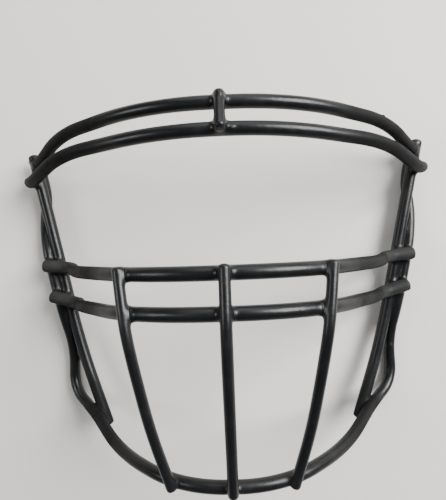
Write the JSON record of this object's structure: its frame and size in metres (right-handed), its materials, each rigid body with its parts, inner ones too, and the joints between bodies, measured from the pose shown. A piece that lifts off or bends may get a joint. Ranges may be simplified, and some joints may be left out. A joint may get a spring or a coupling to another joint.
{
  "type": "football helmet facemask",
  "caption": "Coated steel wire face guard with brow bars, cross bars, face verticals, side rods and a wrapped chin bar, lying on its back.",
  "frame": {"origin": "floor point under the middle of the cage as it lies on its back, centre of the bounding box from above, at the height of its lowest points", "axes": "+X to the right side rod as seen from the front of the face, +Y towards the brow, +Z out of the front of the cage, away from the face"},
  "size_m": [0.249, 0.1866, 0.1093],
  "materials": {
    "steel_wire": "drawn wire, sheared ends",
    "weld_metal": "as welded",
    "vinyl_coat": "satin black dipped vinyl"
  },
  "bodies": {
    "root": {"upper_brow_bar_wire": "steel_wire", "lower_brow_bar_wire": "steel_wire", "brow_strut_wire": "steel_wire", "upper_cross_bar_wire": "steel_wire", "lower_cross_bar_wire": "steel_wire", "centre_vertical_wire": "steel_wire", "left_vertical_wire": "steel_wire", "right_vertical_wire": "steel_wire", "chin_bar_wire": "steel_wire", "left_side_rod_wire": "steel_wire", "right_side_rod_wire": "steel_wire", "brow_welds": "weld_metal", "cross_bar_welds": "weld_metal", "face_bar_welds": "weld_metal", "side_rod_welds": "weld_metal", "upper_brow_bar_coat": "vinyl_coat", "lower_brow_bar_coat": "vinyl_coat", "brow_strut_coat": "vinyl_coat", "upper_cross_bar_coat": "vinyl_coat", "lower_cross_bar_coat": "vinyl_coat", "centre_vertical_coat": "vinyl_coat", "left_vertical_coat": "vinyl_coat", "right_vertical_coat": "vinyl_coat", "chin_bar_coat": "vinyl_coat", "left_side_rod_coat": "vinyl_coat", "right_side_rod_coat": "vinyl_coat"}
  },
  "joints": []
}
